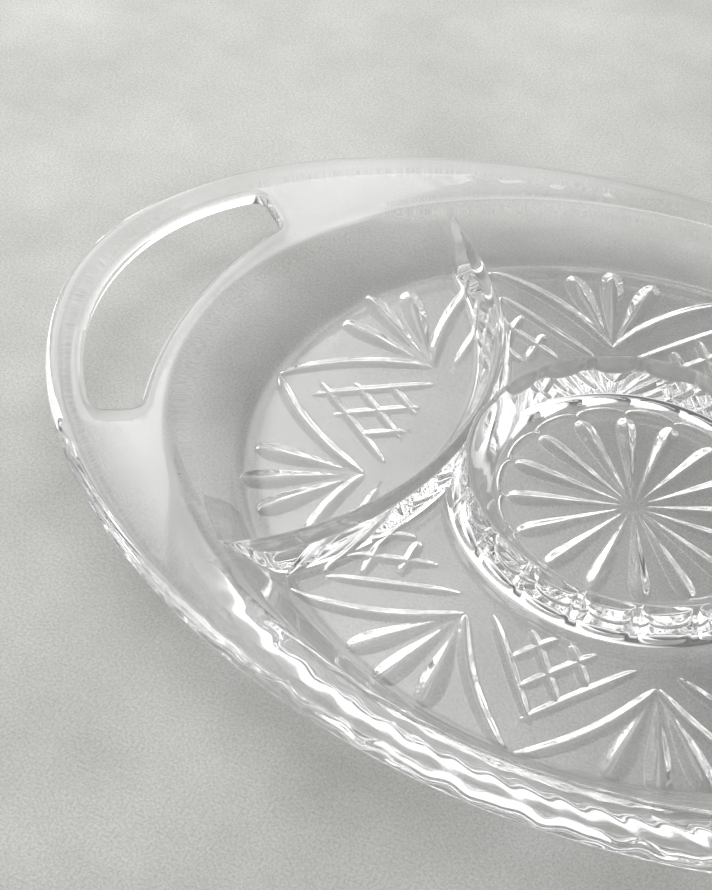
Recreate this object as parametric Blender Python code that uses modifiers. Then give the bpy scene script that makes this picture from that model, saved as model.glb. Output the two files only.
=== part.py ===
"""Oval pressed-glass chip and dip server: a handled tray with four compartments round a dip well.

The real server is one casting. Here each region of it is a closed solid of its own, and neighbours
stand a narrow seam apart where the real glass is continuous. Metres, +Z up, +X along the tray's
length, with the origin on the table under the middle of the dip well.
"""

from math import cos, pi, radians, sin

import bmesh
import bpy
from mathutils import Vector

OBJECT_NAME = "chip_and_dip_server"

# Plan. The outline is a superellipse, the other rings are ellipses given by their half axes.
HALF_LENGTH = 0.203
HALF_WIDTH = 0.146
OUTLINE_POWER = 1.93
MOUTH = (0.1545, 0.129)  # the rim's inner edge
FOOT = (0.128, 0.116)  # where the wall meets the floor
WALL_HEEL = 0.003  # the wall's outer side stands this far outside its inner side

# Heights and thicknesses
FLOOR_TOP = 0.0055
DIVIDER_TOP = 0.018
RIM_TOP = 0.0212
SIDE_FLARE = 0.0010  # rise of the rim from mouth to outer edge on the long sides
HANDLE_FLARE = 0.0062  # and at the ends, where the handles sweep up
RIM_THICKNESS = 0.0065
SEAM = 0.0003

# Angles of the ellipse parameter at which the regions part
HANDLE_REACH = radians(33)
END_WALL_REACH = radians(46)

# Handle slot, a crescent between two arcs that cross the long axis at these distances
SLOT_INNER_X = 0.1625
SLOT_INNER_RADIUS = 0.1545
SLOT_OUTER_X = 0.190
SLOT_OUTER_RADIUS = 0.092
SLOT_INNER_HALF_HEIGHT = 0.0528
SLOT_OUTER_HALF_HEIGHT = 0.0626
SLOT_CORNER = 0.0045

# Dip well ring, as radii from the tray's middle
WELL_FOOT = 0.0450
RING_CREST = 0.0558
RING_BASE = 0.0620
CREST_HALF_WIDTH = 0.0019
CREST_DROP = 0.0008  # the crest's shoulders lie this far below its top

# Divider, an arc about a point outside each end of the dip well
DIVIDER_CENTRE_X = 0.1715
DIVIDER_RADIUS = 0.1135
DIVIDER_HALF_BASE = 0.0062

# Fineness of the facets
RING_STEPS = 96
LOFT_STEP = radians(3)

GLASS_COLOUR = (0.93, 0.95, 0.95, 1.0)


def clear_scene():
    for obj in list(bpy.data.objects):
        bpy.data.objects.remove(obj, do_unlink=True)


def new_collection(name):
    collection = bpy.data.collections.new(name)
    bpy.context.scene.collection.children.link(collection)
    return collection


def glass(name):
    material = bpy.data.materials.new(name + "_glass")
    material.use_nodes = True
    shader = material.node_tree.nodes["Principled BSDF"]
    shader.inputs["Base Color"].default_value = GLASS_COLOUR
    shader.inputs["Roughness"].default_value = 0.03
    shader.inputs["Metallic"].default_value = 0.0
    shader.inputs["IOR"].default_value = 1.52
    shader.inputs["Transmission Weight"].default_value = 1.0
    return material


def add_object(name, bm, collection):
    """An object that holds the closed mesh in bm, facing out."""
    bmesh.ops.recalc_face_normals(bm, faces=bm.faces)
    mesh = bpy.data.meshes.new(name)
    bm.to_mesh(mesh)
    bm.free()
    obj = bpy.data.objects.new(name, mesh)
    collection.objects.link(obj)
    return obj


def add_part(name, bm):
    obj = add_object(name, bm, parts)
    obj.data.materials.append(glass(name))
    return obj


def add_cutter(name, bm):
    obj = add_object(name, bm, cutters)
    obj.display_type = "WIRE"
    obj.hide_render = True
    return obj


def cut(obj, cutter, operation="DIFFERENCE"):
    boolean = obj.modifiers.new(cutter.name, "BOOLEAN")
    boolean.operation = operation
    boolean.solver = "EXACT"
    boolean.object = cutter


def ellipse_point(half_axes, t, grow=0.0):
    return Vector(((half_axes[0] + grow) * cos(t), (half_axes[1] + grow) * sin(t)))


def outline_point(t):
    """The tray's outer edge at ellipse parameter t."""
    power = 2 / OUTLINE_POWER
    x, y = cos(t), sin(t)
    return Vector((
        HALF_LENGTH * abs(x) ** power * (1 if x >= 0 else -1),
        HALF_WIDTH * abs(y) ** power * (1 if y >= 0 else -1),
    ))


def rim_height(t, across):
    """Top of the rim, with across running from 0 at the mouth to 1 at the outer edge."""
    flare = SIDE_FLARE + (HANDLE_FLARE - SIDE_FLARE) * cos(t) ** 2
    return RIM_TOP + flare * across**2


def rim_section(t):
    """The rim's cross-section at t: top, full round outer edge, underside and slanted inner joint."""
    inner, outer = ellipse_point(MOUTH, t), outline_point(t)
    width = (outer - inner).length
    outward = (outer - inner) / width
    half = RIM_THICKNESS / 2
    edge = outer - outward * half
    top_steps = 4
    round_angles = [radians(a) for a in (60, 30, 0, -30, -60)]

    def slab(grow, drop):
        """Points from the joint, grow outside the mouth, to where the round edge begins."""
        joint = ellipse_point(MOUTH, t, grow)
        for k in range(top_steps + 1):
            point = joint.lerp(edge, k / top_steps)
            yield point, rim_height(t, (point - inner).length / width) - drop

    edge_height = rim_height(t, 1 - half / width) - half
    profile = list(slab(SEAM, 0.0))
    profile += [(edge + outward * half * cos(a), edge_height + half * sin(a)) for a in round_angles]
    profile += reversed(list(slab(SEAM + WALL_HEEL, RIM_THICKNESS)))
    return [Vector((*point, z)) for point, z in profile]


def wall_section(t):
    """The wall's cross-section at t, from the mouth down to the floor and back up the outside."""
    mouth = ellipse_point(MOUTH, t)
    foot = ellipse_point(FOOT, t)
    profile = [
        (mouth, RIM_TOP),
        (foot, FLOOR_TOP),
        (foot, 0.0),
        (ellipse_point(FOOT, t, WALL_HEEL), 0.0),
        (ellipse_point(MOUTH, t, WALL_HEEL), RIM_TOP - RIM_THICKNESS),
    ]
    return [Vector((*point, z)) for point, z in profile]


def loft(section, start, end):
    """A closed solid through section(t) for t from start to end, with flat ends."""
    bm = bmesh.new()
    steps = max(2, round((end - start) / LOFT_STEP))
    rings = []
    for k in range(steps + 1):
        t = start + (end - start) * k / steps
        rings.append([bm.verts.new(point) for point in section(t)])
    for ring, following in zip(rings, rings[1:]):
        for i in range(len(ring)):
            j = (i + 1) % len(ring)
            bm.faces.new((ring[i], ring[j], following[j], following[i]))
    bm.faces.new(rings[0])
    bm.faces.new(reversed(rings[-1]))
    return bm


def cylinder(half_axes, bottom, top, centre_x=0.0):
    """An upright round or oval cylinder."""
    bm = bmesh.new()
    bmesh.ops.create_cone(bm, cap_ends=True, segments=RING_STEPS, radius1=1, radius2=1, depth=1)
    bmesh.ops.scale(bm, verts=bm.verts, vec=(half_axes[0], half_axes[1], top - bottom))
    bmesh.ops.translate(bm, verts=bm.verts, vec=(centre_x, 0, (bottom + top) / 2))
    return bm


def box(low, high):
    bm = bmesh.new()
    bmesh.ops.create_cube(bm, size=1)
    size = [b - a for a, b in zip(low, high)]
    middle = [(a + b) / 2 for a, b in zip(low, high)]
    bmesh.ops.scale(bm, verts=bm.verts, vec=size)
    bmesh.ops.translate(bm, verts=bm.verts, vec=middle)
    return bm


def profile_loop(points):
    """A closed outline of (radius, height) points, standing in the XZ plane."""
    bm = bmesh.new()
    verts = [bm.verts.new((r, 0, z)) for r, z in points]
    for i, vert in enumerate(verts):
        bm.edges.new((vert, verts[(i + 1) % len(verts)]))
    return bm


def turn(obj, centre_x=0.0):
    """Sweeps the object's profile right round an upright axis."""
    obj.location.x = centre_x
    screw = obj.modifiers.new("turn", "SCREW")
    screw.angle = 2 * pi
    screw.steps = screw.render_steps = RING_STEPS
    screw.use_normal_calculate = True


def ridge_profile(inner_base, crest, outer_base, grow=0.0, floor=0.0):
    """A ridge with a narrow rounded crest, standing on a block as deep as the floor."""
    shoulder = DIVIDER_TOP - CREST_DROP
    return [
        (inner_base - grow, floor),
        (inner_base - grow, FLOOR_TOP),
        (crest - CREST_HALF_WIDTH - grow, shoulder + grow),
        (crest, DIVIDER_TOP + grow),
        (crest + CREST_HALF_WIDTH + grow, shoulder + grow),
        (outer_base + grow, FLOOR_TOP),
        (outer_base + grow, floor),
    ]


def slot_arc(x_on_axis, radius, half_height, steps):
    """An arc that crosses the long axis at x_on_axis and ends at half_height on either side."""
    points = []
    for k in range(steps + 1):
        y = half_height * (2 * k / steps - 1)
        points.append(Vector((x_on_axis - radius + (radius**2 - y**2) ** 0.5, y)))
    return points


def soften_corner(before, corner, after, steps=4):
    """Points on a curve that rounds the corner off, from SLOT_CORNER before it to as far after it."""
    start = corner + (before - corner).normalized() * SLOT_CORNER
    end = corner + (after - corner).normalized() * SLOT_CORNER
    for k in range(steps + 1):
        s = k / steps
        yield start.lerp(corner, s).lerp(corner.lerp(end, s), s)


def slot_prism(side):
    """The crescent-shaped space through a handle, with rounded corners."""
    arcs = [
        slot_arc(SLOT_OUTER_X, SLOT_OUTER_RADIUS, SLOT_OUTER_HALF_HEIGHT, 16),
        slot_arc(SLOT_INNER_X, SLOT_INNER_RADIUS, SLOT_INNER_HALF_HEIGHT, 16)[::-1],
    ]
    outline = []
    for arc, other in (arcs, arcs[::-1]):
        outline += soften_corner(other[-1], arc[0], arc[1])
        outline += arc[1:-1]
        outline += soften_corner(arc[-2], arc[-1], other[0])
    bm = bmesh.new()
    face = bm.faces.new([bm.verts.new((side * p.x, p.y, 0.0)) for p in outline])
    raised = bmesh.ops.extrude_face_region(bm, geom=[face])["geom"]
    raised_verts = [item for item in raised if isinstance(item, bmesh.types.BMVert)]
    bmesh.ops.translate(bm, verts=raised_verts, vec=(0, 0, 2 * (RIM_TOP + HANDLE_FLARE)))
    return bm


def basin_interior(direction):
    """The space inside the walls on one long side, which the divider arms are trimmed to."""
    levels = [
        (-0.001, FOOT),
        (FLOOR_TOP, FOOT),
        (RIM_TOP, MOUTH),
    ]
    steps = RING_STEPS // 2
    angles = [pi * k / steps for k in range(steps + 1)]
    bm = bmesh.new()
    rings = []
    for z, half_axes in levels:
        ring = []
        for angle in angles:
            point = ellipse_point(half_axes, angle, -SEAM)
            ring.append(bm.verts.new((point.x, direction * (point.y + SEAM / 2), z)))
        rings.append(ring)
    for ring, following in zip(rings, rings[1:]):
        for i in range(len(ring)):
            j = (i + 1) % len(ring)
            bm.faces.new((ring[i], ring[j], following[j], following[i]))
    bm.faces.new(rings[0])
    bm.faces.new(reversed(rings[-1]))
    return bm


def make_handles_and_rims():
    for name, middle, side in (("right", 0.0, 1), ("left", pi, -1)):
        handle = add_part(name + "_handle", loft(rim_section, middle - HANDLE_REACH, middle + HANDLE_REACH))
        cut(handle, add_cutter(name + "_slot", slot_prism(side)))
    seam_angle = SEAM / HALF_LENGTH
    reach = pi / 2 - HANDLE_REACH - seam_angle
    for name, middle in (("back", pi / 2), ("front", -pi / 2)):
        add_part(name + "_rim", loft(rim_section, middle - reach, middle + reach))


def make_walls():
    for name, middle in (("right", 0.0), ("left", pi)):
        add_part(name + "_wall", loft(wall_section, middle - END_WALL_REACH, middle + END_WALL_REACH))
    seam_angle = SEAM / FOOT[1]
    reach = pi / 2 - END_WALL_REACH - seam_angle
    for name, middle in (("back", pi / 2), ("front", -pi / 2)):
        add_part(name + "_wall", loft(wall_section, middle - reach, middle + reach))


def make_dip_well():
    profile = ridge_profile(WELL_FOOT, RING_CREST, RING_BASE)
    turn(add_part("dip_well_ring", profile_loop(profile)))
    well = (WELL_FOOT - SEAM, WELL_FOOT - SEAM)
    add_part("dip_well_floor", cylinder(well, 0.0, FLOOR_TOP))


def make_dividers():
    keep_off = add_cutter("ring_space", profile_loop(
        ridge_profile(0.5 * WELL_FOOT, RING_CREST, RING_BASE, grow=SEAM, floor=-0.001)))
    turn(keep_off)
    arc = ridge_profile(
        DIVIDER_RADIUS - DIVIDER_HALF_BASE, DIVIDER_RADIUS, DIVIDER_RADIUS + DIVIDER_HALF_BASE)
    for long_side, direction in (("front", -1), ("back", 1)):
        interior = add_cutter(long_side + "_basin", basin_interior(direction))
        for end, side in (("left", -1), ("right", 1)):
            arm = add_part(f"{end}_{long_side}_divider", profile_loop(arc))
            turn(arm, side * DIVIDER_CENTRE_X)
            cut(arm, interior, "INTERSECT")
            cut(arm, keep_off)


def make_floors():
    plate = (FOOT[0] - SEAM, FOOT[1] - SEAM)
    below, above = -0.001, 2 * FLOOR_TOP
    ring = RING_BASE + SEAM
    ring_disc = add_cutter("ring_disc", cylinder((ring, ring), below, above))
    outside = DIVIDER_RADIUS + DIVIDER_HALF_BASE + SEAM
    inside = DIVIDER_RADIUS - DIVIDER_HALF_BASE - SEAM
    end_discs = []
    for end, side in (("left", -1), ("right", 1)):
        centre = side * DIVIDER_CENTRE_X
        lens = add_cutter(end + "_lens", cylinder((inside, inside), below, above, centre))
        floor = add_part(end + "_compartment_floor", cylinder(plate, 0.0, FLOOR_TOP))
        cut(floor, lens, "INTERSECT")
        end_discs.append(add_cutter(end + "_disc", cylinder((outside, outside), below, above, centre)))
    for long_side, direction in (("front", -1), ("back", 1)):
        far = -direction * HALF_WIDTH
        low, high = sorted((0.0, far))
        far_box = box((-HALF_LENGTH, low, below), (HALF_LENGTH, high, above))
        far_half = add_cutter(long_side + "_far_half", far_box)
        floor = add_part(long_side + "_compartment_floor", cylinder(plate, 0.0, FLOOR_TOP))
        for cutter in (*end_discs, ring_disc, far_half):
            cut(floor, cutter)


clear_scene()
parts = new_collection(OBJECT_NAME)
cutters = new_collection("cutters")
make_handles_and_rims()
make_walls()
make_dip_well()
make_dividers()
make_floors()
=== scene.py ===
"""Looks of the oval cut-glass chip and dip server: one clear casting on a pale table.

The casting is one closed mesh. Its top and underside are two height functions over the tray's
plan, triangulated with points laid along every crease, and joined by rounded edges. Lengths are in
millimetres until the mesh is made.
"""

from math import cos, pi, radians, sin

import bpy
import numpy as np
from mathutils import Matrix, Vector
from mathutils.geometry import delaunay_2d_cdt


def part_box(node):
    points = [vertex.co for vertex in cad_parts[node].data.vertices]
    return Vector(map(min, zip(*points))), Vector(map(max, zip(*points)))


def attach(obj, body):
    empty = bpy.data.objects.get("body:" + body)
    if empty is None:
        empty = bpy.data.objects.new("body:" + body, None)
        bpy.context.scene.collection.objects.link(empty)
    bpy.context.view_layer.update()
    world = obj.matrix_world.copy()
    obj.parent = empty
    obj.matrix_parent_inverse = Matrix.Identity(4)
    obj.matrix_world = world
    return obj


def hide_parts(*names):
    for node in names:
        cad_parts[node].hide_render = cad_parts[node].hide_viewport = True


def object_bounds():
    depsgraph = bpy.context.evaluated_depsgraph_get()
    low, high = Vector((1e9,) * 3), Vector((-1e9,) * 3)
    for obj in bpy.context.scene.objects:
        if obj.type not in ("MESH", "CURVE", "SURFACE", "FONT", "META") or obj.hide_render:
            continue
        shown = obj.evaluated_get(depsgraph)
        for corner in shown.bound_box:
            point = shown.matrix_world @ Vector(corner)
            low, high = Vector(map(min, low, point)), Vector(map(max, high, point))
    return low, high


MM = 0.001

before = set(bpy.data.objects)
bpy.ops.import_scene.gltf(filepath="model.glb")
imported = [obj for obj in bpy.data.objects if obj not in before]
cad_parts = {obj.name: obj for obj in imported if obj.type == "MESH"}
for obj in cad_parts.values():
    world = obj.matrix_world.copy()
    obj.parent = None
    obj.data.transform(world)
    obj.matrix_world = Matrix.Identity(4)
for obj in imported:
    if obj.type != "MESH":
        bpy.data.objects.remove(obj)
cad_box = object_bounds()


def reach(node, axis):
    """How far a CAD node reaches along +X, +Y or +Z, in millimetres."""
    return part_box(node)[1][axis] / MM


# ---------------------------------------------------------------- sizes, from the CAD frame

X, Y, Z = 0, 1, 2
SEAM = 0.3
HEEL = 3.0  # the wall's outer side stands this far outside its inner side
RIM_THICKNESS = 6.5
OUTLINE = (cad_box[1].x / MM, cad_box[1].y / MM)
OUTLINE_POWER = 1.93
MOUTH = (reach("right_wall", X) - HEEL, reach("back_wall", Y) - HEEL)
FOOT = (reach("right_compartment_floor", X) + SEAM, reach("back_compartment_floor", Y) + SEAM)
FLOOR_TOP = reach("dip_well_floor", Z)
CREST_TOP = reach("dip_well_ring", Z)
RIM_TOP = reach("back_wall", Z)
SIDE_FLARE = 1.0  # rise of the rim from mouth to outer edge on the long sides
HANDLE_FLARE = 6.17  # and at the ends

# How broadly neighbouring surfaces blend
WALL_FOOT_BLEND = 4.0
MOUTH_BLEND = 3.0
RIDGE_FOOT_BLEND = 3.0
RING_TO_DIVIDER_BLEND = 1.0
UNDER_FOOT_BLEND = 2.5
UNDER_MOUTH_BLEND = 1.0
LONG_SIDE_ROOT = 13.0  # added to the last one under the long sides

# The dip well's ring and the dividers. A slope is fall over run, and softness rounds the crest.
RING_CREST = 55.8
RING_INNER_SLOPE = 1.35
RING_OUTER_SLOPE = 2.5
RING_SOFTNESS = 1.3
RING_CELLS = 20
CELL_DEPTH = 2.0
CELL_START, CELL_END = 0.2, 5.8  # distances out from the crest
CELL_FADE = 1.6
CELL_HALF_WIDTH = 0.45  # as a share of the cell's pitch
DIVIDER_CENTRE = 171.5
DIVIDER_RADIUS = 113.5
DIVIDER_SLOPE = 2.7
DIVIDER_SOFTNESS = 0.8

# Shallow flutes under the rim of the long sides
SIDE_FLUTES = 64
SIDE_FLUTE_DEPTH = 0.42
SIDE_FLUTE_START, SIDE_FLUTE_END = 4.0, 22.0  # distances in from the outer edge
CROSSING_RATIO = 1.7  # closeness of the slanting row of flutes against the straight one
CROSSING_DEPTH = 0.5
CROSSING_SLANT = 14.0

# Handle slots: distance of each arc from the middle, its radius, and half its height
SLOT_INNER = (162.5, 154.5, 52.8)
SLOT_OUTER = (190.0, 92.0, 62.6)
SLOT_CORNER = 4.5
EDGE_RADIUS = 3.2
EDGE_TAPER = 2.0  # the rim thins by this much over the last few millimetres
EDGE_TAPER_WIDTH = 8.0

# The cut pattern under the floor. It has two mirror planes, so one quarter is given.
CUT_SLOPE = 0.6
STAR_RAYS = 16
STAR_RADIUS = 41.5
PETAL_BULGE = 3.2
PETAL_HALF_WIDTH = 1.2
ARCH_SAGITTA = 4.2
CORNER_ARCH_SAGITTA = 4.5
LATTICE_SPACING = 13.0
LATTICE_TILT = radians(36)
END_HUB = Vector((83.3, 29.2))
SIDE_HUB = Vector((31.4, 69.0))
END_APEX = Vector((128.5, 0.0))
SIDE_APEX = Vector((0.0, 114.5))
CORNER_APEX = Vector((84.0, 87.0))
END_LEAVES = [Vector((119.9, 35.4)), Vector((118.7, 52.2)), Vector((106.9, 61.6))]
SIDE_LEAVES = [Vector((57.9, 99.4)), Vector((45.4, 108.9)), Vector((29.1, 109.3))]


# Distances between the mesh's points, and how finely its edges are rounded
FILL_SPACING = 2.6
TOP_GAP = 0.28
UNDERSIDE_GAP = 0.2
OUTLINE_SPACING = 1.5
SLOT_SPACING = 1.0
EDGE_STEPS = 10


# ---------------------------------------------------------------- height of the top

def eased(t):
    """A smooth step from 0 to 1."""
    t = np.clip(t, 0, 1)
    return t * t * (3 - 2 * t)


def smooth_max(a, b, blend):
    closeness = np.maximum(blend - np.abs(a - b), 0) / blend
    return np.maximum(a, b) + closeness**2 * blend / 4


def smooth_min(a, b, blend):
    return -smooth_max(-a, -b, blend)


def radius_to(x, y, half_axes, power=2.0):
    """Distance from the middle to a superellipse, along the ray through (x, y)."""
    r = np.maximum(np.hypot(x, y), 1e-6)
    a, b = half_axes
    return r / (np.abs(x / a) ** power + np.abs(y / b) ** power) ** (1 / power)


def sideness(x, y):
    """0 on the long axis, 1 on the short one."""
    along, across = (x / OUTLINE[0]) ** 2, (y / OUTLINE[1]) ** 2
    return across / np.maximum(along + across, 1e-9)


def rim_top(x, y):
    r = np.hypot(x, y)
    mouth, outer = radius_to(x, y, MOUTH), radius_to(x, y, OUTLINE, OUTLINE_POWER)
    across = np.clip((r - mouth) / (outer - mouth), 0, 1)
    flare = SIDE_FLARE + (HANDLE_FLARE - SIDE_FLARE) * (1 - sideness(x, y))
    return RIM_TOP + flare * across**2


def wall_line(x, y, start, low, high):
    """A slope that rises from low to high between foot and mouth, both moved out by start."""
    foot, mouth = radius_to(x, y, FOOT), radius_to(x, y, MOUTH)
    return low + (high - low) * (np.hypot(x, y) - foot - start) / (mouth - foot)


def ridge(distance, inner_slope, outer_slope, softness):
    """A ridge with a rounded crest."""
    fall = np.sqrt(distance**2 + softness**2) - softness
    return CREST_TOP - fall * np.where(distance < 0, inner_slope, outer_slope)


def dip_ring(x, y):
    """The dip well's ring, with a row of scooped cells round its outer side."""
    distance = np.hypot(x, y) - RING_CREST
    cell = 2 * pi / RING_CELLS
    turn = (np.arctan2(y, x) / cell) % 1.0 - 0.5
    across = np.clip(1 - (np.abs(turn) / CELL_HALF_WIDTH) ** 2.2, 0, 1)
    above = np.clip((distance - CELL_START) / CELL_FADE, 0, 1)
    below = np.clip((CELL_END - distance) / CELL_FADE, 0, 1)
    scoop = CELL_DEPTH * across * eased(above * below)
    return ridge(distance + scoop, RING_INNER_SLOPE, RING_OUTER_SLOPE, RING_SOFTNESS)


def divider_distance(x, y):
    return np.hypot(np.abs(x) - DIVIDER_CENTRE, y) - DIVIDER_RADIUS


def top_height(x, y):
    wall = wall_line(x, y, 0.0, FLOOR_TOP, RIM_TOP)
    floor_and_wall = smooth_max(FLOOR_TOP, wall, WALL_FOOT_BLEND)
    basin = smooth_min(floor_and_wall, rim_top(x, y), MOUTH_BLEND)
    divider = ridge(divider_distance(x, y), DIVIDER_SLOPE, DIVIDER_SLOPE, DIVIDER_SOFTNESS)
    ridges = smooth_max(dip_ring(x, y), divider, RING_TO_DIVIDER_BLEND)
    return smooth_max(basin, ridges, RIDGE_FOOT_BLEND)


# ---------------------------------------------------------------- cuts under the floor

class Cut:
    """A V-shaped cut along an arc from start to end, bulging to the left by sagitta.

    The keel is how far the bottom of the V is rounded.
    """

    def __init__(self, start, end, half_width, shape, sagitta=0.0, keel=0.3):
        self.start, self.end, self.sagitta = Vector(start), Vector(end), sagitta
        self.half_width, self.shape, self.keel = half_width, shape, keel
        along = self.end - self.start
        self.length = along.length
        self.along = along / self.length
        self.left = Vector((-self.along.y, self.along.x))

    def point(self, s, across):
        """The point at fraction s of the cut's length and at a distance across to its left."""
        bow, gone = 4 * self.sagitta * s * (1 - s) + across, self.length * s
        return (self.start.x + self.along.x * gone + self.left.x * bow,
                self.start.y + self.along.y * gone + self.left.y * bow)

    def width_at(self, s):
        return self.half_width * self.shape(np.clip(s, 0, 1))

    def depth(self, x, y):
        dx, dy = x - self.start.x, y - self.start.y
        s = (dx * self.along.x + dy * self.along.y) / self.length
        across = dx * self.left.x + dy * self.left.y - 4 * self.sagitta * s * (1 - s)
        side = np.sqrt(across**2 + self.keel**2)
        raised = CUT_SLOPE * (np.hypot(self.width_at(s), self.keel) - side)
        lip = 0.25
        depth = 0.5 * (raised + np.sqrt(raised**2 + lip**2)) - 0.5 * lip
        return np.where((s > 0) & (s < 1), np.maximum(depth, 0), 0)


def leaf(s):
    """Pointed at the hub, widest past the middle, round at the tip."""
    return 2.05 * s**1.2 * np.sqrt(np.maximum(1 - s**3, 0))


def ray(s):
    return 1.15 * s * np.sqrt(np.maximum(1 - s**12, 0))


def sliver(s):
    """Even along its middle and pointed at both ends."""
    return np.sqrt(np.maximum(1 - (2 * s - 1) ** 4, 0))


def quarter_cuts():
    """The cuts of the quarter with x and y positive. The star isn't among them."""
    cuts = []
    for hub, tips in ((END_HUB, END_LEAVES), (SIDE_HUB, SIDE_LEAVES)):
        for tip in tips:
            cuts.append(Cut(hub.lerp(tip, 0.04), tip, 4.0, leaf, keel=0.9))
    for start, end, sagitta in (
        (END_HUB, END_APEX, ARCH_SAGITTA),
        (END_HUB, CORNER_APEX, -CORNER_ARCH_SAGITTA),
        (SIDE_HUB, CORNER_APEX, CORNER_ARCH_SAGITTA),
        (SIDE_HUB, SIDE_APEX, -ARCH_SAGITTA),
    ):
        cuts.append(Cut(start, end, 2.9, sliver, sagitta, keel=0.5))
    return cuts


def lattice_cuts(apex, middle, half_chord):
    """Two families of three parallel cuts, crossing over the arch between apex and middle."""
    axis = (apex - middle).normalized()
    side = Vector((-axis.y, axis.x))
    depth = (apex - middle).length
    cuts = []
    for sign in (1, -1):
        for k in range(3):
            length = depth * (0.92 - 0.28 * k)
            offset = sign * (half_chord - 7.5 - k * LATTICE_SPACING)
            near = middle + side * offset - axis * 2.0
            lean = axis * cos(LATTICE_TILT) - side * (sign * sin(LATTICE_TILT))
            direction = lean.normalized()
            cuts.append(Cut(near, near + direction * length, 2.3, sliver, keel=0.35))
    return cuts


def mirrored(cut, sx, sy):
    start, end = (Vector((p.x * sx, p.y * sy)) for p in (cut.start, cut.end))
    return Cut(start, end, cut.half_width, cut.shape, cut.sagitta * sx * sy, cut.keel)


def in_four_quarters(cuts):
    return [mirrored(cut, sx, sy) for cut in cuts for sx in (1, -1) for sy in (1, -1)]


def all_cuts():
    cuts = []
    for k in range(STAR_RAYS):
        angle = 2 * pi * k / STAR_RAYS
        tip = Vector((cos(angle), sin(angle))) * STAR_RADIUS
        cuts.append(Cut(tip * 0.02, tip, 3.9, ray))
    cuts += in_four_quarters(quarter_cuts())
    end_middle, side_middle = Vector((END_HUB.x - 2, 0)), Vector((0, SIDE_HUB.y - 2))
    corner_middle = (END_HUB + SIDE_HUB) / 2
    corner_half = (END_HUB - SIDE_HUB).length / 2
    for sign in (1, -1):
        cuts += lattice_cuts(END_APEX * sign, end_middle * sign, END_HUB.y)
        cuts += lattice_cuts(SIDE_APEX * sign, side_middle * sign, SIDE_HUB.x)
    return cuts + in_four_quarters(lattice_cuts(CORNER_APEX, corner_middle, corner_half))


CUTS = all_cuts()


def petal_edge(angle):
    """Radius of the scalloped line that closes the petals between the star's rays."""
    petal = 2 * pi / STAR_RAYS
    turn = (angle / petal) % 1.0 - 0.5
    return STAR_RADIUS + 1.0 + PETAL_BULGE * np.sqrt(np.maximum(1 - (2 * turn) ** 2, 0))


def petal_arcs(x, y):
    """Narrow cuts that round off the flat petals between the star's rays."""
    r, angle = np.hypot(x, y), np.arctan2(y, x)
    return np.maximum(0, CUT_SLOPE * (PETAL_HALF_WIDTH - np.abs(r - petal_edge(angle))))


def long_side(x, y, start):
    """0 under the handles and 1 under the long sides, with a smooth change from start on."""
    return eased((sideness(x, y) - start) / 0.45)


def side_flutes(x, y, inward):
    """Shallow scoops under the rim of the long sides, crossed by a slanting row of closer ones."""
    turn = np.arctan2(y / OUTLINE[1], x / OUTLINE[0]) * SIDE_FLUTES / (2 * pi)
    slanting = CROSSING_RATIO * turn + inward / CROSSING_SLANT
    scoop = np.cos(pi * turn) ** 2 + CROSSING_DEPTH * np.cos(pi * slanting) ** 2
    after = np.clip((inward - SIDE_FLUTE_START) / 6, 0, 1)
    before = np.clip((SIDE_FLUTE_END - inward) / 8, 0, 1)
    return SIDE_FLUTE_DEPTH * scoop * eased(after * before) * long_side(x, y, 0.5)


def underside_height(x, y):
    inward = radius_to(x, y, OUTLINE, OUTLINE_POWER) - np.hypot(x, y)
    taper = EDGE_TAPER * np.clip(1 - inward / EDGE_TAPER_WIDTH, 0, 1) ** 2
    rim_under = rim_top(x, y) - RIM_THICKNESS + taper
    wall = wall_line(x, y, HEEL, 0.0, RIM_TOP - RIM_THICKNESS)
    root = UNDER_MOUTH_BLEND + LONG_SIDE_ROOT * long_side(x, y, 0.35)
    base = smooth_max(0.0, smooth_min(wall, rim_under, root), UNDER_FOOT_BLEND)
    base = base + side_flutes(x, y, inward)
    cut = petal_arcs(x, y)
    for each in CUTS:
        middle = (each.start + each.end) / 2
        near = np.hypot(x - middle.x, y - middle.y) < each.length / 2 + 6
        if near.any():
            cut[near] = np.maximum(cut[near], each.depth(x[near], y[near]))
    return base + cut


# ---------------------------------------------------------------- plan of the edges

def outline_loop(spacing):
    """The tray's outer edge as evenly spaced points, anticlockwise, with outward normals."""
    t = np.linspace(0, 2 * pi, 4001)[:-1]
    power = 2 / OUTLINE_POWER
    points = np.stack([
        OUTLINE[0] * np.sign(np.cos(t)) * np.abs(np.cos(t)) ** power,
        OUTLINE[1] * np.sign(np.sin(t)) * np.abs(np.sin(t)) ** power,
    ], axis=1)
    return with_normals(evenly(points, spacing))


def evenly(points, spacing):
    """Points at even distances along a closed loop."""
    closed = np.vstack([points, points[:1]])
    gone = np.concatenate([[0], np.cumsum(np.hypot(*np.diff(closed, axis=0).T))])
    count = max(8, round(gone[-1] / spacing))
    at = np.linspace(0, gone[-1], count + 1)[:-1]
    return np.stack([np.interp(at, gone, closed[:, 0]), np.interp(at, gone, closed[:, 1])], axis=1)


def with_normals(points):
    """The points and, at each, the normal to the right of the way the loop runs."""
    way = np.roll(points, -1, axis=0) - np.roll(points, 1, axis=0)
    way /= np.hypot(way[:, 0], way[:, 1])[:, None]
    return points, np.stack([way[:, 1], -way[:, 0]], axis=1)


def slot_arc(arc, steps=48):
    distance, radius, half = arc
    y = np.linspace(-half, half, steps + 1)
    return np.stack([distance - radius + np.sqrt(radius**2 - y**2), y], axis=1)


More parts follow.
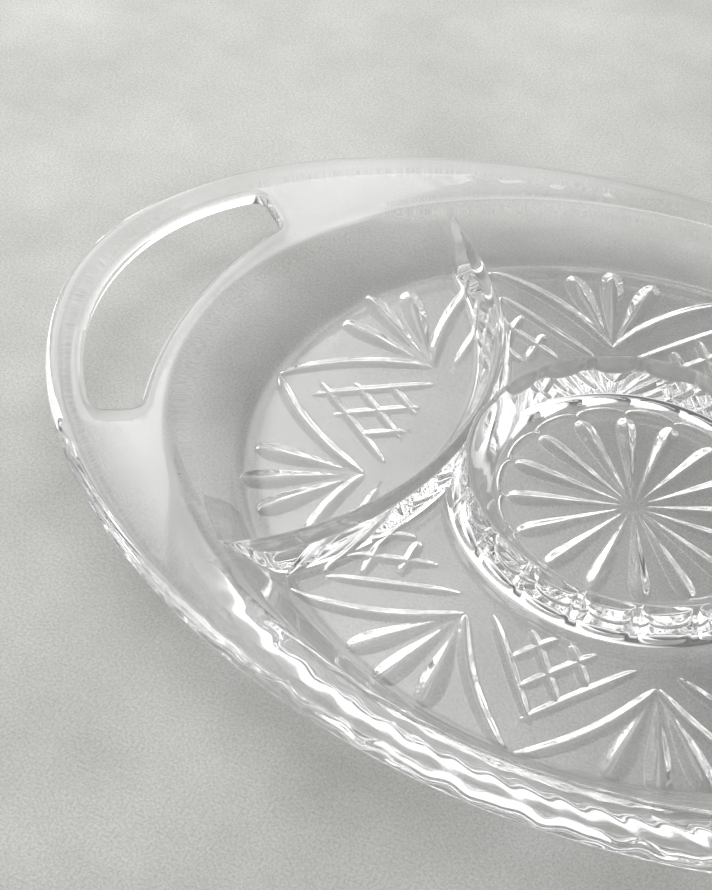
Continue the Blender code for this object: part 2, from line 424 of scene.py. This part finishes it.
def rounded_corner(before, corner, after, steps=10):
    start = corner + (before - corner) / np.hypot(*(before - corner)) * SLOT_CORNER
    end = corner + (after - corner) / np.hypot(*(after - corner)) * SLOT_CORNER
    s = np.linspace(0, 1, steps + 1)[:, None]
    return (1 - s) ** 2 * start + 2 * s * (1 - s) * corner + s**2 * end


def trimmed(arc):
    """The arc without the ends that its rounded corners take."""
    for end in (0, -1):
        far = np.hypot(*(arc - arc[end]).T) > SLOT_CORNER * 1.05
        far[end] = True
        keep_end = arc[end]
        arc = arc[far]
        arc[end] = keep_end
    return arc


def slot_loop(side, spacing):
    """One handle slot as a clockwise loop, so that its normals point into the slot."""
    outer, inner = trimmed(slot_arc(SLOT_OUTER)), trimmed(slot_arc(SLOT_INNER)[::-1])
    points = []
    for arc, other in ((outer, inner), (inner, outer)):
        points += [rounded_corner(other[-1], arc[0], arc[1]), arc[1:-1]]
        points.append(rounded_corner(arc[-2], arc[-1], other[0]))
    loop = np.vstack(points)
    loop[:, 0] *= side
    if side > 0:
        loop = loop[::-1]
    points, normals = with_normals(evenly(loop, spacing))
    for _ in range(6):
        normals = np.roll(normals, 1, axis=0) + np.roll(normals, -1, axis=0) + normals
        normals /= np.hypot(normals[:, 0], normals[:, 1])[:, None]
    return points, normals


def inside(points, loop):
    """Which points lie inside a closed loop."""
    x, y = points[:, 0], points[:, 1]
    hits = np.zeros(len(points), int)
    for (x0, y0), (x1, y1) in zip(loop, np.roll(loop, -1, axis=0)):
        if y0 != y1:
            spans = (y0 > y) != (y1 > y)
            hits += spans & (x < x0 + (y - y0) * (x1 - x0) / (y1 - y0))
    return hits % 2 == 1


# ---------------------------------------------------------------- where the points go

def arc_points(centre_x, radius, start, end, spacing):
    count = max(2, round(radius * (end - start) / spacing))
    angle = np.linspace(start, end, count, endpoint=False)
    return np.stack([centre_x + radius * np.cos(angle), radius * np.sin(angle)], axis=1)


def oval_points(half_axes, offset, spacing):
    t = np.linspace(0, 2 * pi, 2001)[:-1]
    a, b = half_axes[0] + offset, half_axes[1] + offset
    return evenly(np.stack([a * np.cos(t), b * np.sin(t)], axis=1), spacing)


def outline_rows():
    """Points in rows beside the outer edge, where rim and wall bend in both sheets."""
    points, normals = outline_loop(1.2)
    return [points - normals * (EDGE_RADIUS + inset) for inset in (0.9, 1.8, 2.8, 4.0, 5.4, 7.0)]


def divider_rows(offsets):
    rows = []
    for offset in offsets:
        for side, middle in ((1, pi), (-1, 0)):
            rows.append(arc_points(
                side * DIVIDER_CENTRE, DIVIDER_RADIUS + offset, middle - 1.05, middle + 1.05, 0.8))
    return rows


def top_features():
    """Points in rows along the creases and crests of the top."""
    rows = outline_rows()
    for offset in (-5, -3.6, -2.6, -1.6, -0.8, 0, 0.8, 1.6, 2.6, 3.6, 5):
        rows.append(oval_points(MOUTH, offset, 1.4))
        rows.append(oval_points(FOOT, offset, 1.6))
    for offset in np.arange(-13.0, -2.0, 0.9):
        rows.append(arc_points(0, RING_CREST + offset, 0, 2 * pi, 1.0))
    for offset in np.arange(-2.0, 9.5, 0.5):
        rows.append(arc_points(0, RING_CREST + offset, 0, 2 * pi, 0.6))
    rows += divider_rows(np.arange(-9.0, -2.4, 0.9))
    rows += divider_rows(np.arange(-2.4, 2.5, 0.4))
    rows += divider_rows(np.arange(2.7, 9.5, 0.9))
    return np.vstack(rows)


def underside_features():
    """Points in rows along the cuts, the wall's bends and the flutes of the underside."""
    rows = outline_rows()
    for cut in CUTS:
        s = np.linspace(0, 1, max(8, round(cut.length / 0.7)))
        width = cut.width_at(s)
        for across in (0, 0.22, -0.22, 0.5, -0.5):
            rows.append(np.stack(cut.point(s, across), axis=1))
        for share, extra in ((0.5, 0), (1, -0.3), (1, 0), (1, 0.3), (1, 0.8)):
            for sign in (1, -1):
                rows.append(np.stack(cut.point(s, sign * (width * share + extra)), axis=1))
    t = np.linspace(-pi, pi, 1400)
    edge = petal_edge(t)
    for offset in (-1.3, -0.9, -0.45, 0, 0.45, 0.9, 1.3):
        rows.append(np.stack([(edge + offset) * np.cos(t), (edge + offset) * np.sin(t)], axis=1))
    for offset in (-4, -2.5, -1.2, -0.6, 0, 0.6, 1.2, 2.5, 4):
        rows.append(oval_points(FOOT, HEEL + offset, 1.2))
        rows.append(oval_points(MOUTH, HEEL + offset, 1.0))
    for offset in np.arange(-8.0, 18.0, 1.6):
        rows.append(oval_points(MOUTH, HEEL + offset, 1.5))
    return np.vstack(rows)


def thinned(points, gap):
    """At most one point in each square of a fine grid."""
    _, first = np.unique(np.round(points / gap).astype(int), axis=0, return_index=True)
    return points[np.sort(first)]


def filled(features, spacing):
    """The features, with an even spread of points wherever they leave room."""
    rows = np.arange(-OUTLINE[1], OUTLINE[1], spacing * 0.866)
    columns = np.arange(-OUTLINE[0], OUTLINE[0], spacing)
    grid = np.array([
        (x + (i % 2) * spacing / 2, y) for i, y in enumerate(rows) for x in columns])
    cell = spacing * 0.55
    corner = np.array([-OUTLINE[0], -OUTLINE[1]]) - 4 * cell
    size = (np.array([2 * OUTLINE[0], 2 * OUTLINE[1]]) / cell).astype(int) + 10
    taken = np.zeros(size, bool)
    taken[tuple(((features - corner) / cell).astype(int).T)] = True
    wide = taken.copy()
    for shift in ((1, 0), (-1, 0), (0, 1), (0, -1)):
        wide |= np.roll(taken, shift, axis=(0, 1))
    free = ~wide[tuple(((grid - corner) / cell).astype(int).T)]
    return np.vstack([features, grid[free]])


def triangulated(points, loops, holes):
    """Triangles over the plan, with the loops' points first, and none inside a hole."""
    edge = np.vstack(loops)
    room = radius_to(points[:, 0], points[:, 1], OUTLINE, OUTLINE_POWER) - np.hypot(*points.T)
    keep = room > EDGE_RADIUS + 0.7
    for hole in holes:
        for grow in (1.0, 1.012):
            middle = hole.mean(axis=0)
            keep &= ~inside(points, middle + (hole - middle) * grow)
    near = np.zeros(len(points), bool)
    for loop in loops[1:]:
        lowest, highest = loop.min(axis=0) - 2, loop.max(axis=0) + 2
        candidates = np.where(((points > lowest) & (points < highest)).all(axis=1))[0]
        gaps = np.hypot(*(points[candidates][:, None] - loop[None]).transpose(2, 0, 1)).min(axis=1)
        near[candidates[gaps < 0.6]] = True
    inner = points[keep & ~near]
    every = np.vstack([edge, inner])
    links, start = [], 0
    for loop in loops:
        count = len(loop)
        links += [(start + i, start + (i + 1) % count) for i in range(count)]
        start += count
    found = delaunay_2d_cdt([Vector(p) for p in every], links, [], 0, 1e-6)
    xy = np.array(found[0], float)
    faces = np.array(found[2], int)
    centres = xy[faces].mean(axis=1)
    for hole in holes:
        faces = faces[~inside(centres, hole)]
        centres = xy[faces].mean(axis=1)
    assert len(xy) == len(every), "the triangulation merged or added points"
    return xy, faces


def slope_normals(height, xy, sign):
    """Outward normals of a height function, facing up for sign 1 and down for -1."""
    step = 0.02
    x, y = xy[:, 0].copy(), xy[:, 1].copy()
    dx = (height(x + step, y) - height(x - step, y)) / (2 * step)
    dy = (height(x, y + step) - height(x, y - step)) / (2 * step)
    normals = np.stack([-dx * sign, -dy * sign, np.full(len(x), float(sign))], axis=1)
    return normals / np.linalg.norm(normals, axis=1)[:, None]


def rounded_edge(points, normals, top, bottom, steps):
    """Rings of points that go round an edge, from the top's boundary to the underside's."""
    middle, half = (top + bottom) / 2, (top - bottom) / 2
    rings = []
    for k in range(1, steps):
        angle = pi / 2 - pi * k / steps
        out = points + normals * (EDGE_RADIUS * cos(angle))
        rings.append(np.column_stack([out, middle + half * sin(angle)]))
    return rings


def casting():
    """The casting's vertices, triangles and outward normals.

    A normal is zero where the mesh's own is to be used.
    """
    loops, edges = [], []
    slots = [slot_loop(side, SLOT_SPACING) for side in (1, -1)]
    for points, normals in (outline_loop(OUTLINE_SPACING), *slots):
        inset = points - normals * EDGE_RADIUS
        loops.append(inset)
        edges.append((inset, normals))
    holes = loops[1:]
    top_points = filled(thinned(top_features(), TOP_GAP), FILL_SPACING)
    low_points = filled(thinned(underside_features(), UNDERSIDE_GAP), FILL_SPACING)
    top_xy, top_faces = triangulated(top_points, loops, holes)
    low_xy, low_faces = triangulated(low_points, loops, holes)
    top_z = top_height(top_xy[:, 0].copy(), top_xy[:, 1].copy())
    low_z = underside_height(low_xy[:, 0].copy(), low_xy[:, 1].copy())
    vertices = [np.column_stack([top_xy, top_z]), np.column_stack([low_xy, low_z])]
    low_start = len(top_xy)
    faces = [top_faces, low_faces[:, ::-1] + low_start]
    normals = [
        slope_normals(top_height, top_xy, 1), slope_normals(underside_height, low_xy, -1)]
    count = low_start + len(low_xy)
    start = 0
    for inset, outward in edges:
        n = len(inset)
        own = slice(start, start + n)
        normals[0][own] = 0
        normals[1][own] = 0
        rings = rounded_edge(inset, outward, top_z[own], low_z[own], EDGE_STEPS)
        ids = [np.arange(start, start + n)]
        for ring in rings:
            ids.append(np.arange(count, count + n))
            vertices.append(ring)
            normals.append(np.zeros((n, 3)))
            count += n
        ids.append(np.arange(low_start + start, low_start + start + n))
        for upper, lower in zip(ids, ids[1:]):
            after_upper, after_lower = np.roll(upper, -1), np.roll(lower, -1)
            faces.append(np.column_stack([upper, lower, after_lower]))
            faces.append(np.column_stack([upper, after_lower, after_upper]))
        start += n
    return np.vstack(vertices), np.vstack(faces), np.vstack(normals)


# ---------------------------------------------------------------- materials

STRAIGHT_THROUGH = 0.32  # share of the shadow light that the glass doesn't bend


def new_material(name):
    material = bpy.data.materials.new(name)
    material.use_nodes = True
    nodes = material.node_tree.nodes
    nodes.clear()
    return material, nodes, material.node_tree.links


def noise(nodes, links, scale, detail=3.0, roughness=0.5):
    """A noise texture in object space, with the given number of swells per metre."""
    coords = nodes.new("ShaderNodeTexCoord")
    texture = nodes.new("ShaderNodeTexNoise")
    texture.inputs["Scale"].default_value = scale
    texture.inputs["Detail"].default_value = detail
    texture.inputs["Roughness"].default_value = roughness
    links.new(coords.outputs["Object"], texture.inputs["Vector"])
    return texture


def ramp(nodes, links, source, low, high, start=0.3, end=0.7):
    """Maps a value between two greys or colours."""
    mapped = nodes.new("ShaderNodeValToRGB")
    mapped.color_ramp.elements[0].position = start
    mapped.color_ramp.elements[0].color = (*low, 1)
    mapped.color_ramp.elements[1].position = end
    mapped.color_ramp.elements[1].color = (*high, 1)
    links.new(source, mapped.inputs["Fac"])
    return mapped.outputs["Color"]


def clear_glass():
    """Pressed glass: clear, polished, with faint ripples from the mould."""
    material, nodes, links = new_material("clear_glass")
    shader = nodes.new("ShaderNodeBsdfPrincipled")
    shader.inputs["Base Color"].default_value = (0.985, 0.992, 0.99, 1)
    shader.inputs["IOR"].default_value = 1.52
    shader.inputs["Transmission Weight"].default_value = 1.0
    shader.inputs["Roughness"].default_value = 0.0
    ripples = noise(nodes, links, 90.0, 2.0)
    bump = nodes.new("ShaderNodeBump")
    bump.inputs["Strength"].default_value = 0.05
    bump.inputs["Distance"].default_value = 0.0006
    links.new(ripples.outputs["Fac"], bump.inputs["Height"])
    links.new(bump.outputs["Normal"], shader.inputs["Normal"])
    # A share of the shadow light goes straight through, which keeps the glass's shadow light.
    path = nodes.new("ShaderNodeLightPath")
    share = nodes.new("ShaderNodeMath")
    share.operation = "MULTIPLY"
    share.inputs[1].default_value = STRAIGHT_THROUGH
    links.new(path.outputs["Is Shadow Ray"], share.inputs[0])
    through = nodes.new("ShaderNodeBsdfTransparent")
    mix = nodes.new("ShaderNodeMixShader")
    links.new(share.outputs["Value"], mix.inputs["Fac"])
    links.new(shader.outputs["BSDF"], mix.inputs[1])
    links.new(through.outputs["BSDF"], mix.inputs[2])
    output = nodes.new("ShaderNodeOutputMaterial")
    links.new(mix.outputs["Shader"], output.inputs["Surface"])
    return material


def table_top():
    """A pale plastered table, faintly mottled."""
    material, nodes, links = new_material("pale_table")
    shader = nodes.new("ShaderNodeBsdfPrincipled")
    mottle = noise(nodes, links, 14.0, 7.0, 0.62)
    clouds = ramp(nodes, links, mottle.outputs["Fac"], (0.495, 0.495, 0.472), (0.66, 0.66, 0.64))
    speckle = noise(nodes, links, 1150.0, 3.0, 0.85)
    grains = ramp(
        nodes, links, speckle.outputs["Fac"], (0.71, 0.71, 0.71), (1.0, 1.0, 1.0), 0.36, 0.6)
    colour = nodes.new("ShaderNodeMix")
    colour.data_type, colour.blend_type = "RGBA", "MULTIPLY"
    colour.inputs["Factor"].default_value = 1.0
    links.new(clouds, colour.inputs["A"])
    links.new(grains, colour.inputs["B"])
    links.new(colour.outputs["Result"], shader.inputs["Base Color"])
    shader.inputs["Roughness"].default_value = 0.8
    grain = noise(nodes, links, 900.0, 4.0, 0.7)
    bump = nodes.new("ShaderNodeBump")
    bump.inputs["Strength"].default_value = 0.25
    bump.inputs["Distance"].default_value = 0.0004
    links.new(grain.outputs["Fac"], bump.inputs["Height"])
    links.new(bump.outputs["Normal"], shader.inputs["Normal"])
    output = nodes.new("ShaderNodeOutputMaterial")
    links.new(shader.outputs["BSDF"], output.inputs["Surface"])
    return material


# ---------------------------------------------------------------- the object

def make_casting():
    vertices, faces, normals = casting()
    mesh = bpy.data.meshes.new("glass_casting")
    mesh.vertices.add(len(vertices))
    mesh.vertices.foreach_set("co", (vertices * MM).ravel())
    mesh.loops.add(faces.size)
    mesh.loops.foreach_set("vertex_index", faces.ravel().astype(np.int32))
    mesh.polygons.add(len(faces))
    mesh.polygons.foreach_set("loop_start", np.arange(0, faces.size, 3, dtype=np.int32))
    mesh.update(calc_edges=True)
    mesh.validate(verbose=False)
    mesh.polygons.foreach_set("use_smooth", np.ones(len(faces), bool))
    mesh.normals_split_custom_set_from_vertices(normals.tolist())
    mesh.materials.append(clear_glass())
    piece = bpy.data.objects.new("glass_casting", mesh)
    bpy.context.scene.collection.objects.link(piece)
    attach(piece, "root")
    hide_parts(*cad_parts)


def make_table():
    bpy.ops.mesh.primitive_plane_add(size=6.0, location=(0, 0, -0.0003))
    table = bpy.context.object
    table.name = "table_top"
    table.data.materials.append(table_top())


def add_softbox(name, azimuth, elevation, distance, size, power):
    """A soft area light at a bearing from the tray: azimuth 0 is +Y, growing towards +X.

    It fades out towards one side, as a window does beside its curtain.
    """
    light = bpy.data.lights.new(name, "AREA")
    light.shape = "RECTANGLE"
    light.size, light.size_y = size
    light.energy = power
    lamp = bpy.data.objects.new(name, light)
    away = Vector((
        sin(azimuth) * cos(elevation), cos(azimuth) * cos(elevation), sin(elevation)))
    lamp.location = away * distance
    lamp.rotation_euler = away.to_track_quat("Z", "Y").to_euler()
    bpy.context.scene.collection.objects.link(lamp)
    light.use_nodes = True
    nodes, links = light.node_tree.nodes, light.node_tree.links
    place, split = nodes.new("ShaderNodeNewGeometry"), nodes.new("ShaderNodeSeparateXYZ")
    links.new(place.outputs["Parametric"], split.inputs["Vector"])
    fade = ramp(nodes, links, split.outputs["X"], (0, 0, 0), (1, 1, 1), 0.02, 0.22)
    links.new(fade, nodes["Emission"].inputs["Strength"])


def make_world():
    """A plain grey room: bright below and overhead, and dim in between."""
    world = bpy.data.worlds.new("studio")
    bpy.context.scene.world = world
    world.use_nodes = True
    nodes, links = world.node_tree.nodes, world.node_tree.links
    coords = nodes.new("ShaderNodeTexCoord")
    split = nodes.new("ShaderNodeSeparateXYZ")
    links.new(coords.outputs["Generated"], split.inputs["Vector"])
    bands = nodes.new("ShaderNodeValToRGB")
    stops = bands.color_ramp.elements
    for stop, (height, grey) in zip((stops[0], stops[1]), ((0.0, 1.2), (1.0, 1.0))):
        stop.position, stop.color = height, (grey, grey, grey, 1)
    for height, grey in ((0.3, 1.1), (0.56, 0.17), (0.8, 0.17)):
        stops.new(height).color = (grey, grey, grey, 1)
    links.new(split.outputs["Z"], bands.inputs["Fac"])
    links.new(bands.outputs["Color"], nodes["Background"].inputs["Color"])
    nodes["Background"].inputs["Strength"].default_value = 1.0


def make_camera():
    azimuth, elevation, roll = radians(19.4), radians(44.44), radians(6.75)
    data = bpy.data.cameras.new("camera")
    data.sensor_width = 36.0
    data.lens = 87.64
    camera = bpy.data.objects.new("camera", data)
    turn = Matrix.Rotation(azimuth, 4, "Z") @ Matrix.Rotation(pi / 2 - elevation, 4, "X")
    place = Matrix.Translation((0.0784, -0.4993, 0.5029))
    camera.matrix_world = place @ turn @ Matrix.Rotation(roll, 4, "Z")
    bpy.context.scene.collection.objects.link(camera)
    bpy.context.scene.camera = camera


def let_light_through():
    """Clear glass needs long light paths, and highlights that stay white."""
    scene = bpy.context.scene
    scene.cycles.max_bounces = 32
    scene.cycles.glossy_bounces = 24
    scene.cycles.transmission_bounces = 24
    scene.view_settings.view_transform = "Standard"


let_light_through()
make_camera()
make_casting()
make_table()
make_world()
add_softbox("window_softbox", radians(-56), radians(48), 1.30, (1.7, 1.2), 19.4)
